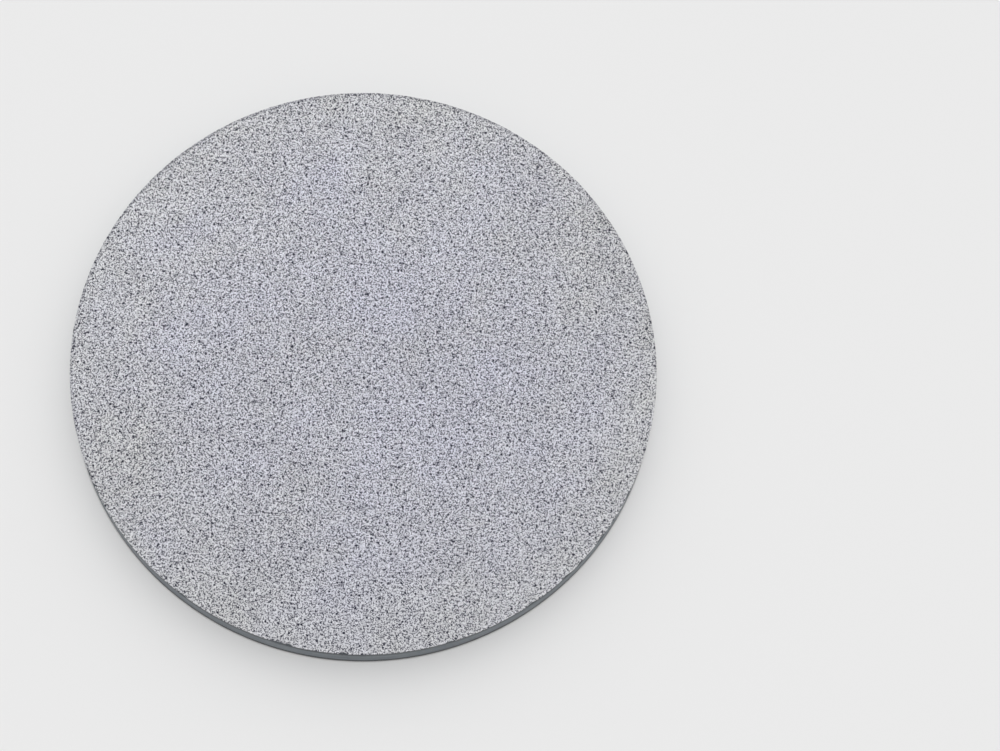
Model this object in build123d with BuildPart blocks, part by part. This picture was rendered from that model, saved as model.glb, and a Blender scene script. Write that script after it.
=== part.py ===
from build123d import *
import os
from math import sqrt

# A round sputtering target: one disc of pressed, sintered and ground ceramic. It lies on its back face,
# with its axis along Z and the face that is sputtered on top. All lengths are in millimetres.

# Sizes of the disc
target_diameter = 50.8
target_thickness = 3.0

# Flat 45 degree break of each rim, measured along the face
front_edge_break = 0.1
back_edge_break = 0.15

# Nicks that handling has left in the front rim: the angle from +X in degrees, the length along the rim,
# and how far the nick reaches from the sharp corner over the face, which is also its reach down the wall
rim_nicks = [
    (211.4, 0.8, 0.19),
    (214.0, 0.7, 0.17),
    (242.1, 1.0, 0.19),
    (262.7, 2.1, 0.24),
    (264.7, 0.7, 0.26),
    (275.3, 0.8, 0.26),
    (295.8, 0.9, 0.16),
    (313.3, 1.4, 0.18),
    (321.9, 1.3, 0.20),
    (325.7, 0.8, 0.18),
    (332.0, 1.4, 0.19),
    (336.4, 0.8, 0.16),
    (342.3, 0.9, 0.20),
]

target_radius = target_diameter / 2


def bite_offset(length, reach):
    """How far outside the wall, and as far above the face, the centre of a nick's sphere lies."""
    return (length**2 / 4 - reach**2) / (2 * reach)


def bite_radius(length, reach):
    """The radius of the sphere that leaves a nick of this length and reach in a sharp corner."""
    return sqrt(2 * bite_offset(length, reach) ** 2 + length**2 / 4)


with BuildPart() as target_disc:
    # The ground section, from the axis out: back face, back break, wall, front break, front face
    with BuildSketch(Plane.XZ):
        with BuildLine():
            Polyline(
                (0, 0),
                (target_radius - back_edge_break, 0),
                (target_radius, back_edge_break),
                (target_radius, target_thickness - front_edge_break),
                (target_radius - front_edge_break, target_thickness),
                (0, target_thickness),
                close=True,
            )
        make_face()
    revolve(axis=Axis.Z)

    # Each nick is a shallow shell-shaped flake, the bite of a sphere that stands off the rim's corner
    for angle, length, reach in rim_nicks:
        offset = bite_offset(length, reach)
        with Locations((0, 0, target_thickness + offset)):
            with PolarLocations(target_radius + offset, 1, start_angle=angle):
                Sphere(bite_radius(length, reach), mode=Mode.SUBTRACT)

target_disc.part.label = "target_disc"

os.makedirs("parts", exist_ok=True)
export_step(target_disc.part, "parts/target_disc.step")
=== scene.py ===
from math import cos, pi, radians, sin, sqrt, tan

import bpy
import numpy as np
from mathutils import Matrix, Vector
from mathutils.geometry import delaunay_2d_cdt


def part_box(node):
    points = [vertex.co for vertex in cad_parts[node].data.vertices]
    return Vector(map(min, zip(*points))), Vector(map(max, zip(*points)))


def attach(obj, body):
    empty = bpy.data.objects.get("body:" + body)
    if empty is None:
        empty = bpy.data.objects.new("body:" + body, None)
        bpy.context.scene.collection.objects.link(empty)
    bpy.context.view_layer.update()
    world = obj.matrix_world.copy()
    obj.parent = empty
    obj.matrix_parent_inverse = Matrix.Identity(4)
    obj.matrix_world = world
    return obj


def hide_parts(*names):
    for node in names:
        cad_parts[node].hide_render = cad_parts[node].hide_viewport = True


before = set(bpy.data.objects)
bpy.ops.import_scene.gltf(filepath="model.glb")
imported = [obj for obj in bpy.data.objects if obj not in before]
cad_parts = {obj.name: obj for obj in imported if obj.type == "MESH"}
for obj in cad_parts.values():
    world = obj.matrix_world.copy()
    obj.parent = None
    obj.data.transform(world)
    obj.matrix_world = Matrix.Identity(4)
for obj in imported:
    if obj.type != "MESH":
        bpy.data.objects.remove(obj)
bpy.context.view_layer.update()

# The disc's size comes from the frame. The mesh and the patterns below are in millimetres.
MM = 0.001
NODE = "target_disc"
low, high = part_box(NODE)
RADIUS = (high[0] - low[0]) / 2 / MM
THICKNESS = (high[2] - low[2]) / MM

# Flats of the two rims; the front one is sharper than the solid's, like the one in the photo
FRONT_BREAK = 0.04
BACK_BREAK = 0.15

# Raggedness of the rims' edges, as waves of a size and a number of knots around the rim
FACE_EDGE_WAVES = [(0.02, 420), (0.015, 150)]
WALL_EDGE_WAVES = [(0.02, 480), (0.015, 170)]
BACK_EDGE_WAVES = [(0.02, 200)]

# Nicks of the front rim, as in the solid: degrees from +X, length along the rim, reach over the face
RIM_NICKS = [
    (211.4, 0.8, 0.19),
    (214.0, 0.7, 0.17),
    (242.1, 1.0, 0.19),
    (262.7, 2.1, 0.24),
    (264.7, 0.7, 0.26),
    (275.3, 0.8, 0.26),
    (295.8, 0.9, 0.16),
    (313.3, 1.4, 0.18),
    (321.9, 1.3, 0.20),
    (325.7, 0.8, 0.18),
    (332.0, 1.4, 0.19),
    (336.4, 0.8, 0.16),
    (342.3, 0.9, 0.20),
]

# Seed of the random draws
SEED = 7

# Points around the rim, and the heights of the wall's inner rings, the first two close to the front rim
RIM_POINTS = 1440
WALL_RINGS = [THICKNESS - 0.16, THICKNESS - 0.28, 0.7 * THICKNESS, 0.37 * THICKNESS]

# Distance between the grains of the two faces, and between the closer points at the nicks
FRONT_PITCH = 0.2
BACK_PITCH = 0.36
NICK_PITCH = 0.08

# The grains of both faces keep inside this radius. Two close rows of points come first: how far in, in
# pitches, and how many for each point of the rim. The scattered grains start further in.
GRAIN_REACH = RADIUS - BACK_BREAK
CLOSE_ROWS = [(0.6, 0.8), (1.3, 0.66)]
GRAINS_START = 1.9

# How far points are shifted at random from their even places, as a share of their distance
GRAIN_JITTER = 0.33
NICK_JITTER = 0.2
ROW_JITTER_ALONG = 0.2
ROW_JITTER_ACROSS = 0.1

# Open pits where grains have fallen out: the share of grains, the deepest pit, and the least as a share of
# it. A higher bias makes more of them shallow.
PIT_SHARE = 0.3
PIT_DEPTH = 0.06
PIT_LEAST = 0.25
PIT_BIAS = 1.5

# How far the lowest grains lie below the highest ones
GRAIN_DEPTH = 0.012

# The triangulation keeps what lies inside its outline, and merges points that are closer than this
KEEP_INSIDE = 1
MERGE_DISTANCE = 1e-7

# Edges that turn by more than this look sharp
SHARP_ANGLE = radians(32)

# The map for the textures: each face is a round picture, and the rim fills four rows above the front face
FRONT_PICTURE = ((0.365, 0.365), 0.36)
BACK_PICTURE = ((0.775, 0.775), 0.215)
STRIP_ROWS = 4
STRIP_START = (0.02, 0.77)
STRIP_LENGTH = 0.5
STRIP_PITCH = 0.055
STRIP_SHARE = 0.85

# How high each ring lies in its row of the map, from the front rim to the back one
STRIP_HEIGHTS = np.array([1.0, 0.96, 0.93, 0.9, 0.7, 0.37, 0.05, 0.0])

# Places of the two materials on the disc
FACE_SLOT = 0
WALL_SLOT = 1

# Pattern of the ground face. Level runs from 0, dark, to 1, pale; amounts say how much a pattern moves it.
FACE_LEVEL = 0.71
SPECKS = dict(scale=10.0, detail=0.0)
SPECK_AMOUNT = 0.34
GRAINS_PER_MM = 13.0
GRAIN_AMOUNT = 0.4
# Painted shade in the mesh's pits: the power of their depth, and how much the deepest darkens the face
PIT_POWER = 4.0
PIT_PAINTED_SHADE = -0.5

# Pores: how many grid cells to a millimetre, their radius, and the amount of the darkest. A power below 1
# makes their sides steep.
PORES = [(1.2, 0.1, -2.2), (3.6, 0.078, -0.65)]
PORE_POWER = 0.6

# Open joints between grains, which open up where a noise rises through the last two values
CRACKS_PER_MM = 5.0
CRACK_WIDTH = 0.036
CRACK_AMOUNT = -1.45
CRACKS_OPEN = (0.46, 0.6)

# Broad clouds of the face: the noise and its amount
CLOUDS = [(dict(scale=0.35, detail=2.0), 0.1), (dict(scale=0.07, detail=1.0), 0.08)]

# The direction to the far left of the face, where painted light makes it a little paler; its contrast is
# higher there too. The contrast falls towards the rim.
PAINTED_LIGHT_DIRECTION = (-0.57 / RADIUS, 0.82 / RADIUS, 0)
PAINTED_LIGHT_AMOUNT = 0.045
CONTRAST = 1.03
CONTRAST_ACROSS = 0.1
CONTRAST_AT_RIM = -0.1
RIM_POWER = 3.0

# Painted shade along the very edge of the face: it is a little darker there, most of all at its far left
RIM_BAND = (RADIUS - 0.12, RADIUS - 0.05)
RIM_PAINTED_SHADE = -0.06
RIM_PAINTED_SHADE_ACROSS = -0.1

# Colours of the face along its level: the place, the grey from 0 to 255, and how much bluer it is
FACE_GREYS = [(0.0, 45, 12), (0.25, 105, 6), (0.5, 172, 0.7), (0.75, 212, -1.2), (1.0, 240, -3.3)]

# Tint of the face, from grey by the rim to lavender in the middle, in soft patches
TINTS = [(0.0, (0.997, 1.003, 1.03)), (1.0, (0.997, 1.004, 1.15))]
TINT_MIDDLE = 0.74
TINT_AT_RIM = -0.55
TINT_PATCHES = dict(scale=0.16, detail=3.0, roughness=0.65)
TINT_PATCH_AMOUNT = 1.6

# Pattern of the wall: streaks around it, long clouds, and a fine grain, each with its amount
WALL_LEVEL = 0.5
STREAK_STRETCH = (0.25, 0.25, 6.0)
STREAKS = dict(scale=1.0, detail=3.0, roughness=0.6)
STREAK_AMOUNT = 0.9
WALL_CLOUDS = [
    (dict(scale=0.5, detail=3.0, roughness=0.6), 0.6),
    (dict(scale=6.0, detail=2.0, roughness=0.6), 0.5),
]

# Colours of the wall along its level, from dark to pale
WALL_COLOURS = [(0.0, (0.108, 0.127, 0.146)), (1.0, (0.292, 0.325, 0.358))]

# Darkness of the wall from its foot to its top, as shares of the height, with an uneven border: painted
# shade where the wall meets the floor along the foot, and a darker band along the top rim
WALL_PAINTED_FOOT_SHADE_AND_TOP_BAND = [(0.0, 0.06), (0.1, 0.15), (0.28, 1.0), (0.7, 1.0), (0.86, 0.54), (1.0, 0.33)]
BORDER = dict(scale=0.8, detail=3.0, roughness=0.6)
BORDER_AMOUNT = 0.12

# The middle of a random value from 0 to 1, around which it adds and takes away alike
NOISE_MIDDLE = 0.5

# Numbers of the Mix node's sockets for colours
MIX_FIRST = 6
MIX_SECOND = 7
MIX_RESULT = 2

# Constants of the curve that turns a picture's grey into linear light
SRGB_OFFSET = 0.055
SRGB_POWER = 2.4

# The picture, and where and how the photographer stood, worked out from the face's outline
PICTURE = (1000, 751)
FACE_CENTRE_PX = (364.6, 365.8)
FOCAL_PX = 2936
SENSOR = 36.0
VIEW_DISTANCE = 10.03 * RADIUS * MM
VIEW_TILT = radians(16.7)
VIEW_ROLL = radians(-8.94)
NEAR_CLIP = 0.005
FAR_CLIP = 20

# The studio light, which gives the floor the soft shadow of the photograph
DOME_LIGHT = 0.346
BACK_LIGHT = 0.777
BACK_LIGHT_HEIGHT = radians(18)
LAMP_HEIGHT = 2.0
LAMP_SPREAD = radians(1.5)
LAMP_POWER = 15.8

# The floor, in metres
FLOOR_SIZE = 3.0
FLOOR_GREY = 0.83
FLOOR_ROUGHNESS = 0.9


def wave(rng, knots):
    """A closed run of values from -1 to 1 around the rim, smooth between a number of random knots."""
    at = np.arange(RIM_POINTS) * knots / RIM_POINTS
    values = rng.uniform(-1, 1, knots)
    left = at.astype(int)
    share = (1 - np.cos(pi * (at - left))) / 2
    return values[left % knots] * (1 - share) + values[(left + 1) % knots] * share


def ragged(rng, waves):
    """How far an edge strays from its even line, all around the rim: the sum of its waves."""
    return sum(size * wave(rng, knots) for size, knots in waves)


def nick_spheres():
    """The centre and radius of the sphere that bites each nick out of the front rim's corner."""
    for angle, length, reach in RIM_NICKS:
        offset = (length**2 / 4 - reach**2) / (2 * reach)
        turn = radians(angle)
        out = RADIUS + offset
        centre = np.array([out * cos(turn), out * sin(turn), THICKNESS + offset])
        yield centre, sqrt(2 * offset**2 + length**2 / 4)


def bitten(points):
    """The points, with those inside a nick's sphere pushed onto it, inwards and down."""
    points = points.copy()
    flat = np.hypot(points[:, 0], points[:, 1])
    inward = -np.stack([points[:, 0], points[:, 1], flat], 1) / (flat * sqrt(2))[:, None]
    for centre, radius in nick_spheres():
        gap = points - centre
        along = (gap * inward).sum(1)
        outside = (gap**2).sum(1) - radius**2
        inside = outside < 0
        step = -along + np.sqrt(np.maximum(along**2 - outside, 0))
        points[inside] += inward[inside] * step[inside, None]
    return points


def grain_points(rng, pitch, reach):
    """Scattered points of a jittered triangular grid within this radius."""
    row = pitch * sqrt(3) / 2
    rows = int(reach / row) + 2
    columns = int(reach / pitch) + 2
    y, x = np.mgrid[-rows : rows + 1, -columns : columns + 1].astype(float)
    x = (x + (y % 2) / 2) * pitch
    y = y * row
    jitter = rng.uniform(-GRAIN_JITTER, GRAIN_JITTER, (x.size, 2)) * pitch
    spots = np.stack([x.ravel(), y.ravel()], 1) + jitter
    return spots[np.hypot(spots[:, 0], spots[:, 1]) < reach]


def nick_points(rng):
    """Closer points over the part of the face that each nick takes, so that its edge is crisp."""
    found = []
    for angle, length, reach in RIM_NICKS:
        across, along = np.meshgrid(
            np.arange(NICK_PITCH, reach + 2 * NICK_PITCH, NICK_PITCH),
            np.arange(-length / 2, length / 2 + NICK_PITCH, NICK_PITCH),
        )
        jitter = rng.uniform(-NICK_JITTER, NICK_JITTER, (2, *across.shape)) * NICK_PITCH
        radius = RADIUS - FRONT_BREAK - across + jitter[0]
        turn = radians(angle) + (along + jitter[1]) / RADIUS
        found.append(np.stack([(radius * np.cos(turn)).ravel(), (radius * np.sin(turn)).ravel()], 1))
    return np.concatenate(found)


def row_points(rng, pitch, inset, share):
    """One row of points around a face, inset from its edge by this many pitches."""
    count = int(RIM_POINTS * share)
    along = np.arange(count) + rng.uniform(-ROW_JITTER_ALONG, ROW_JITTER_ALONG, count)
    turn = along * 2 * pi / count
    across = rng.uniform(-ROW_JITTER_ACROSS, ROW_JITTER_ACROSS, count) * pitch
    radius = GRAIN_REACH - inset * pitch + across
    return np.stack([radius * np.cos(turn), radius * np.sin(turn)], 1)


def inner_points(rng, pitch):
    """The points inside a face's edge: the close rows, then the grains."""
    rows = [row_points(rng, pitch, inset, share) for inset, share in CLOSE_ROWS]
    return np.concatenate([*rows, grain_points(rng, pitch, GRAIN_REACH - GRAINS_START * pitch)])


def triangles_in(points):
    """Triangles over a face's points, of which the first ones are its edge in order."""
    edges = [(i, (i + 1) % RIM_POINTS) for i in range(RIM_POINTS)]
    placed = [Vector((float(x), float(y))) for x, y in points]
    spots, _, faces, origin, _, _ = delaunay_2d_cdt(placed, edges, [], KEEP_INSIDE, MERGE_DISTANCE)
    assert len(spots) == len(points), "points have merged"
    new_to_old = np.array([o[0] for o in origin])
    return new_to_old[np.array(faces)]


def facing_up(points, faces):
    """The triangles, each turned so that it faces up."""
    a, b, c = (points[faces[:, i]] for i in range(3))
    turned = (b[:, 0] - a[:, 0]) * (c[:, 1] - a[:, 1]) - (b[:, 1] - a[:, 1]) * (c[:, 0] - a[:, 0]) < 0
    faces = faces.copy()
    faces[turned] = faces[turned][:, ::-1]
    return faces


def pits(rng, count):
    """How deep each of the grain points lies, from 0 on top to 1 in the deepest pit."""
    lost = rng.random(count) < PIT_SHARE
    worn = rng.random(count) * GRAIN_DEPTH / PIT_DEPTH
    return np.where(lost, PIT_LEAST + (1 - PIT_LEAST) * rng.random(count) ** PIT_BIAS, worn)


def rim_rings(rng):
    """Rings of points from the front face's edge over the wall to the back face's edge."""
    turn = np.arange(RIM_POINTS) * 2 * pi / RIM_POINTS
    even = np.zeros(RIM_POINTS)
    face_edge = ragged(rng, FACE_EDGE_WAVES)
    wall_edge = ragged(rng, WALL_EDGE_WAVES)
    back_edge = ragged(rng, BACK_EDGE_WAVES)
    profile = [
        (RADIUS - FRONT_BREAK - face_edge, THICKNESS + even),
        (RADIUS + even, THICKNESS - FRONT_BREAK - wall_edge),
        *[(RADIUS + even, height + even) for height in WALL_RINGS],
        (RADIUS + even, BACK_BREAK + back_edge),
        (RADIUS - BACK_BREAK - back_edge, even),
    ]
    return [np.stack([radius * np.cos(turn), radius * np.sin(turn), z], 1) for radius, z in profile]


def rim_strips(ring_count):
    """The quads between each ring and the next."""
    here = np.arange(RIM_POINTS)
    after = (here + 1) % RIM_POINTS
    strips = []
    for ring in range(ring_count - 1):
        upper = ring * RIM_POINTS
        lower = upper + RIM_POINTS
        strips.append(np.stack([upper + here, lower + here, lower + after, upper + after], 1))
    return np.concatenate(strips)


def disc_mesh():
    """The whole disc as one closed mesh: its points, their pits, and the faces of front, rim and back."""
    rng = np.random.default_rng(SEED)
    rings = rim_rings(rng)
    front_inner = np.concatenate([nick_points(rng), inner_points(rng, FRONT_PITCH)])
    back_inner = inner_points(rng, BACK_PITCH)
    front_pit = pits(rng, len(front_inner))
    back_pit = pits(rng, len(back_inner))
    front_xyz = np.column_stack([front_inner, THICKNESS - PIT_DEPTH * front_pit])
    back_xyz = np.column_stack([back_inner, PIT_DEPTH * back_pit])
    points = bitten(np.concatenate([*rings, front_xyz, back_xyz]))
    pit = np.concatenate([np.zeros(RIM_POINTS * len(rings)), front_pit, back_pit])

    # Each face's own points are numbered from its edge inwards, and then find their place among all
    edge = np.arange(RIM_POINTS)
    front_start = RIM_POINTS * len(rings)
    back_start = front_start + len(front_inner)
    front_index = np.concatenate([edge, np.arange(len(front_inner)) + front_start])
    back_index = np.concatenate([edge + front_start - RIM_POINTS, np.arange(len(back_inner)) + back_start])
    front = np.concatenate([rings[0][:, :2], front_inner])
    back = np.concatenate([rings[-1][:, :2], back_inner])
    front_faces = front_index[facing_up(front, triangles_in(front))]
    back_faces = back_index[facing_up(back, triangles_in(back))[:, ::-1]]
    return points, pit, front_faces, rim_strips(len(rings)), back_faces


def strip_map(strips):
    """Where each corner of the rim's quads lies on the map: four rows, a quarter of the rim in each."""
    ring, column = np.divmod(strips[:, 0], RIM_POINTS)
    quarter = RIM_POINTS // STRIP_ROWS
    row = column // quarter
    left = (column - row * quarter) / quarter
    corners = np.empty((len(strips), 4, 2))
    for corner, (across, down) in enumerate(((0, 0), (0, 1), (1, 1), (1, 0))):
        height = STRIP_SHARE * STRIP_HEIGHTS[ring + down]
        corners[:, corner, 0] = STRIP_START[0] + STRIP_LENGTH * (left + across / quarter)
        corners[:, corner, 1] = STRIP_START[1] + STRIP_PITCH * (row + height)
    return corners


def face_map(points, faces, picture, mirror=1):
    """Where each corner of a face's triangles lies on the map: the face as a round picture."""
    centre, radius = picture
    corners = points[faces][:, :, :2] * radius / RADIUS
    corners[:, :, 0] *= mirror
    return corners + centre


def build_mesh(name):
    """The disc's mesh with its pits, its two materials and a map that gives the front face most room."""
    points, pit, front_faces, strips, back_faces = disc_mesh()
    mesh = bpy.data.meshes.new(name)
    faces = [*front_faces.tolist(), *strips.tolist(), *back_faces.tolist()]
    mesh.from_pydata((points * MM).tolist(), [], faces)
    depth = mesh.attributes.new("pit", "FLOAT", "POINT")
    depth.data.foreach_set("value", pit.astype(np.float32))

    # The first strip is the flat of the front rim, which looks like the face
    wall_start = len(front_faces) + RIM_POINTS
    wall_end = len(front_faces) + len(strips)
    slots = np.full(len(faces), FACE_SLOT, np.int32)
    slots[wall_start:wall_end] = WALL_SLOT
    mesh.polygons.foreach_set("material_index", slots)
    mesh.polygons.foreach_set("use_smooth", np.ones(len(faces), bool))

    corners = [
        face_map(points, front_faces, FRONT_PICTURE).reshape(-1),
        strip_map(strips).reshape(-1),
        face_map(points, back_faces, BACK_PICTURE, -1).reshape(-1),
    ]
    mesh.uv_layers.new(name="OFBake").data.foreach_set("uv", np.concatenate(corners))
    mesh.set_sharp_from_angle(angle=SHARP_ANGLE)
    mesh.update()
    return mesh


def feed(tree, socket, value):
    """Give an input either another node's output or a fixed value."""
    if isinstance(value, bpy.types.NodeSocket):
        tree.links.new(value, socket)
    else:
        socket.default_value = value


def node(tree, kind, **settings):
    """A new shader node. A setting whose name is an input goes to that input."""
    made = tree.nodes.new(kind)
    for key, value in settings.items():
        label = key.replace("_", " ")
        if label in made.inputs:
            feed(tree, made.inputs[label], value)
        else:
            setattr(made, key, value)
    return made


def reckon(tree, operation, *values):
    """The output of a Math node on numbers or sockets."""
    made = node(tree, "ShaderNodeMath", operation=operation)
    for socket, value in zip(made.inputs, values):
        feed(tree, socket, value)
    return made.outputs["Value"]


def vector_node(tree, operation, *values):
    """A Vector Math node on vectors or sockets."""
    made = node(tree, "ShaderNodeVectorMath", operation=operation)
    for socket, value in zip(made.inputs, values):
        feed(tree, socket, value)
    return made


def millimetres(tree, scale=(1, 1, 1)):
    """Where a point is on the disc, in millimetres, times a scale for each axis."""
    metres = node(tree, "ShaderNodeTexCoord").outputs["Object"]
    return vector_node(tree, "MULTIPLY", metres, [s / MM for s in scale]).outputs["Vector"]


def noise(tree, where, scale, detail=2.0, roughness=0.5):
    """Smooth random values from 0 to 1, with this many waves to a millimetre."""
    made = node(tree, "ShaderNodeTexNoise", Vector=where, Scale=scale, Detail=detail, Roughness=roughness)
    return made.outputs["Fac"]


def added(tree, base, value, amount, middle=0.0):
    """The base plus the value's distance from its middle times an amount."""
    return reckon(tree, "MULTIPLY_ADD", reckon(tree, "SUBTRACT", value, middle), amount, base)


def clouded(tree, base, where, clouds):
    """The base with each of these noises added, around its middle, in its amount."""
    for settings, amount in clouds:
        base = added(tree, base, noise(tree, where, **settings), amount, NOISE_MIDDLE)
    return base


def spread(tree, value, low_end, high_end):
    """The value, so that it runs from 0 at the low end to 1 at the high end."""
    made = node(tree, "ShaderNodeMapRange", Value=value, From_Min=low_end, From_Max=high_end)
    return made.outputs["Result"]


def ramp(tree, value, stops):
    """A colour ramp through (position, colour) stops."""
    made = node(tree, "ShaderNodeValToRGB", Fac=value)
    elements = made.color_ramp.elements
    while len(elements) < len(stops):
        elements.new(0.5)
    for element, (position, colour) in zip(elements, stops):
        element.position = position
        element.color = (*colour, 1)
    return made.outputs["Color"]


def product(tree, colour, tint):
    """One colour times another."""
    made = node(tree, "ShaderNodeMix", data_type="RGBA", blend_type="MULTIPLY", Factor=1.0)
    feed(tree, made.inputs[MIX_FIRST], colour)
    feed(tree, made.inputs[MIX_SECOND], tint)
    return made.outputs[MIX_RESULT]


def blank(name):
    """A material with only its shader, its node tree, and the shader."""
    material = bpy.data.materials.new(name)
    material.use_nodes = True
    tree = material.node_tree
    return material, tree, tree.nodes["Principled BSDF"]


def finish(tree, shader, colour, level, roughness, smoother, specular, bump, relief):
    """Join a surface's colour and level to its shader: paler spots are smoother by a little, and higher."""
    shader.inputs["Specular IOR Level"].default_value = specular
    feed(tree, shader.inputs["Base Color"], colour)
    feed(tree, shader.inputs["Roughness"], reckon(tree, "MULTIPLY_ADD", level, -smoother, roughness))
    bumps = node(tree, "ShaderNodeBump", Strength=bump, Distance=relief * MM, Height=level)
    feed(tree, shader.inputs["Normal"], bumps.outputs["Normal"])


def grey(level, bluer=0.0):
    """The linear colour of a grey of this level from 0 to 255, with its blue this much higher."""
    linear = [((v / 255 + SRGB_OFFSET) / (1 + SRGB_OFFSET)) ** SRGB_POWER for v in (level, level + bluer)]
    return (linear[0], linear[0], linear[1])


def pores(tree, where, per_mm, radius):
    """Round pores scattered over the face: up to 1 in the middle of a pore and 0 around it."""
    cells = node(tree, "ShaderNodeTexVoronoi", voronoi_dimensions="2D", Vector=where, Scale=per_mm)
    inside = reckon(tree, "MULTIPLY_ADD", cells.outputs["Distance"], -1 / (radius * per_mm), 1.0)
    shape = reckon(tree, "POWER", reckon(tree, "MAXIMUM", inside, 0.0), PORE_POWER)
    chance = node(tree, "ShaderNodeSeparateColor", Color=cells.outputs["Color"])
    return reckon(tree, "MULTIPLY", shape, chance.outputs["Green"])


def cracks(tree, where, per_mm, width):
    """Short open joints between grains: up to 1 in the middle of a joint and 0 beside it."""
    grains = node(
        tree,
        "ShaderNodeTexVoronoi",
        voronoi_dimensions="2D",
        feature="DISTANCE_TO_EDGE",
        Vector=where,
        Scale=per_mm,
    )
    inside = reckon(tree, "MULTIPLY_ADD", grains.outputs["Distance"], -1 / (width * per_mm), 1.0)
    open_here = spread(tree, noise(tree, where, per_mm, 0.0), *CRACKS_OPEN)
    return reckon(tree, "MULTIPLY", reckon(tree, "MAXIMUM", inside, 0.0), open_here)


def face_grain(tree, where):
    """The fine pattern of the face, around 0: specks, grains, pores, open joints, and painted shade in the
    pits.
    """
    grains = node(tree, "ShaderNodeTexVoronoi", Vector=where, Scale=GRAINS_PER_MM)
    grain = node(tree, "ShaderNodeSeparateColor", Color=grains.outputs["Color"]).outputs["Red"]
    pit = node(tree, "ShaderNodeAttribute", attribute_name="pit").outputs["Fac"]
    fine = added(tree, 0.0, noise(tree, where, **SPECKS), SPECK_AMOUNT, NOISE_MIDDLE)
    fine = added(tree, fine, grain, GRAIN_AMOUNT, NOISE_MIDDLE)
    for per_mm, radius, amount in PORES:
        fine = added(tree, fine, pores(tree, where, per_mm, radius), amount)
    fine = added(tree, fine, cracks(tree, where, CRACKS_PER_MM, CRACK_WIDTH), CRACK_AMOUNT)
    # Painted shade: darker where the mesh's pits lie deep
    return added(tree, fine, reckon(tree, "POWER", pit, PIT_POWER), PIT_PAINTED_SHADE)


def face_level(tree, where, radius, towards_rim):
    """How pale the face is, from 0 to 1: its grain, its clouds, a painted gradient of light towards the far
    left, and painted shade along its edge.
    """
    across = vector_node(tree, "DOT_PRODUCT", where, PAINTED_LIGHT_DIRECTION).outputs["Value"]
    contrast = reckon(tree, "MULTIPLY_ADD", across, CONTRAST_ACROSS, CONTRAST)
    contrast = reckon(tree, "MULTIPLY_ADD", towards_rim, CONTRAST_AT_RIM, contrast)
    level = reckon(tree, "MULTIPLY_ADD", face_grain(tree, where), contrast, FACE_LEVEL)
    level = clouded(tree, level, where, CLOUDS)
    # Painted light: paler towards the far left
    level = added(tree, level, across, PAINTED_LIGHT_AMOUNT)
    # Painted shade along the face's edge, strongest at the far left
    painted_rim_shade = reckon(tree, "MULTIPLY_ADD", across, RIM_PAINTED_SHADE_ACROSS, RIM_PAINTED_SHADE)
    return reckon(tree, "MULTIPLY_ADD", spread(tree, radius, *RIM_BAND), painted_rim_shade, level)


def face_material():
    """Ground face of the ceramic: pale lavender grey with dark pores and open grain joints."""
    material, tree, shader = blank("ground_face")
    where = millimetres(tree)
    radius = vector_node(tree, "LENGTH", where).outputs["Value"]
    towards_rim = reckon(tree, "POWER", reckon(tree, "DIVIDE", radius, RADIUS), RIM_POWER)
    level = face_level(tree, where, radius, towards_rim)
    greys = ramp(tree, level, [(place, grey(value, bluer)) for place, value, bluer in FACE_GREYS])
    hue = added(tree, TINT_MIDDLE, towards_rim, TINT_AT_RIM)
    hue = added(tree, hue, noise(tree, where, **TINT_PATCHES), TINT_PATCH_AMOUNT, NOISE_MIDDLE)
    colour = product(tree, greys, ramp(tree, hue, TINTS))
    finish(tree, shader, colour, level, roughness=0.9, smoother=0.12, specular=0.3, bump=0.3, relief=0.03)
    return material


def wall_material():
    """Ground wall: smooth slate grey with faint marks of the wheel around it, painted shade along its foot,
    and a darker band along its top rim.
    """
    material, tree, shader = blank("ground_wall")
    where = millimetres(tree)
    streaks = noise(tree, millimetres(tree, STREAK_STRETCH), **STREAKS)
    level = added(tree, WALL_LEVEL, streaks, STREAK_AMOUNT, NOISE_MIDDLE)
    level = clouded(tree, level, where, WALL_CLOUDS)
    height = node(tree, "ShaderNodeSeparateXYZ", Vector=where).outputs["Z"]
    share = reckon(tree, "DIVIDE", height, THICKNESS)
    share = added(tree, share, noise(tree, where, **BORDER), BORDER_AMOUNT, NOISE_MIDDLE)
    # Painted shade along the wall's foot, and a darker band along its top
    painted_foot_shade_and_top_band = ramp(tree, share, [(place, (shade, shade, shade)) for place, shade in WALL_PAINTED_FOOT_SHADE_AND_TOP_BAND])
    colour = product(tree, ramp(tree, level, WALL_COLOURS), painted_foot_shade_and_top_band)
    finish(tree, shader, colour, level, roughness=0.62, smoother=0.15, specular=0.35, bump=0.25, relief=0.02)
    return material


def floor():
    """A plain pale floor under the disc."""
    bpy.ops.mesh.primitive_plane_add(size=FLOOR_SIZE)
    plane = bpy.context.object
    plane.name = "floor"
    material, _, shader = blank("pale_floor")
    shader.inputs["Base Color"].default_value = (FLOOR_GREY, FLOOR_GREY, FLOOR_GREY, 1)
    shader.inputs["Roughness"].default_value = FLOOR_ROUGHNESS
    shader.inputs["Specular IOR Level"].default_value = 0.0
    plane.data.materials.append(material)


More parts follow.
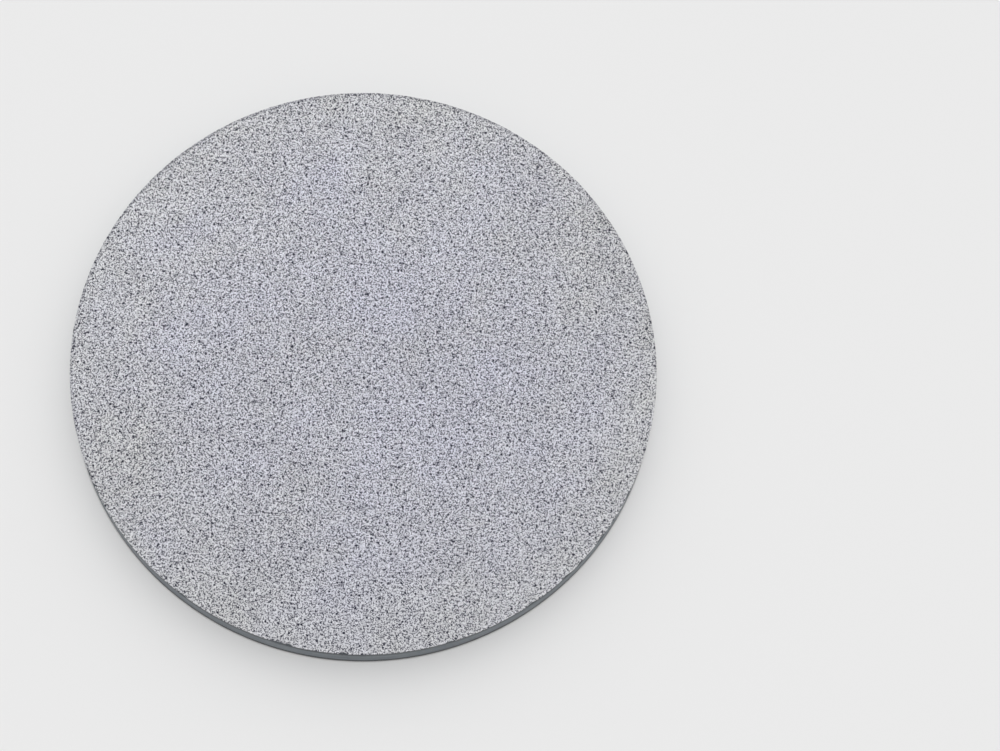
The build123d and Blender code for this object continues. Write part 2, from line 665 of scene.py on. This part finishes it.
def studio_dome():
    """An even dome of light that is brighter behind the disc."""
    world = bpy.data.worlds.new("studio")
    bpy.context.scene.world = world
    world.use_nodes = True
    tree = world.node_tree
    direction = node(tree, "ShaderNodeTexCoord").outputs["Generated"]
    to_back = (0, cos(BACK_LIGHT_HEIGHT), sin(BACK_LIGHT_HEIGHT))
    facing = vector_node(tree, "DOT_PRODUCT", direction, to_back).outputs["Value"]
    behind = reckon(tree, "MAXIMUM", facing, 0.0)
    background = tree.nodes["Background"]
    background.inputs["Color"].default_value = (1, 1, 1, 1)
    strength = reckon(tree, "MULTIPLY_ADD", behind, BACK_LIGHT, DOME_LIGHT)
    feed(tree, background.inputs["Strength"], strength)


def overhead_lamp():
    """A round lamp high over the disc."""
    data = bpy.data.lights.new("lamp", "AREA")
    data.shape = "DISK"
    data.size = 2 * LAMP_HEIGHT * tan(LAMP_SPREAD)
    data.energy = LAMP_POWER
    lamp = bpy.data.objects.new("lamp", data)
    bpy.context.collection.objects.link(lamp)
    lamp.location = (0, 0, LAMP_HEIGHT)


def camera():
    """The camera where the photograph was taken from, aimed so that the disc lands where it does there."""
    right = Vector((1, 0, 0))
    down = Vector((0, -cos(VIEW_TILT), -sin(VIEW_TILT)))
    ahead = Vector((0, sin(VIEW_TILT), -cos(VIEW_TILT)))
    picture_right = cos(VIEW_ROLL) * right + sin(VIEW_ROLL) * down
    picture_down = -sin(VIEW_ROLL) * right + cos(VIEW_ROLL) * down
    x = (FACE_CENTRE_PX[0] - PICTURE[0] / 2) / FOCAL_PX
    y = (FACE_CENTRE_PX[1] - PICTURE[1] / 2) / FOCAL_PX
    ray = (picture_right * x + picture_down * y + ahead).normalized()
    data = bpy.data.cameras.new("camera")
    data.sensor_width = SENSOR
    data.lens = FOCAL_PX * SENSOR / PICTURE[0]
    data.clip_start = NEAR_CLIP
    data.clip_end = FAR_CLIP
    made = bpy.data.objects.new("camera", data)
    bpy.context.collection.objects.link(made)
    turned = Matrix((picture_right, -picture_down, -ahead)).transposed().to_4x4()
    turned.translation = Vector((0, 0, THICKNESS * MM)) - ray * VIEW_DISTANCE
    made.matrix_world = turned
    bpy.context.scene.camera = made


camera()
disc = bpy.data.objects.new("disc", build_mesh("disc"))
bpy.context.collection.objects.link(disc)
disc.data.materials.append(face_material())
disc.data.materials.append(wall_material())
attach(disc, "root")
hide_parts(NODE)
floor()
studio_dome()
overhead_lamp()
bpy.context.scene.view_settings.view_transform = "Standard"
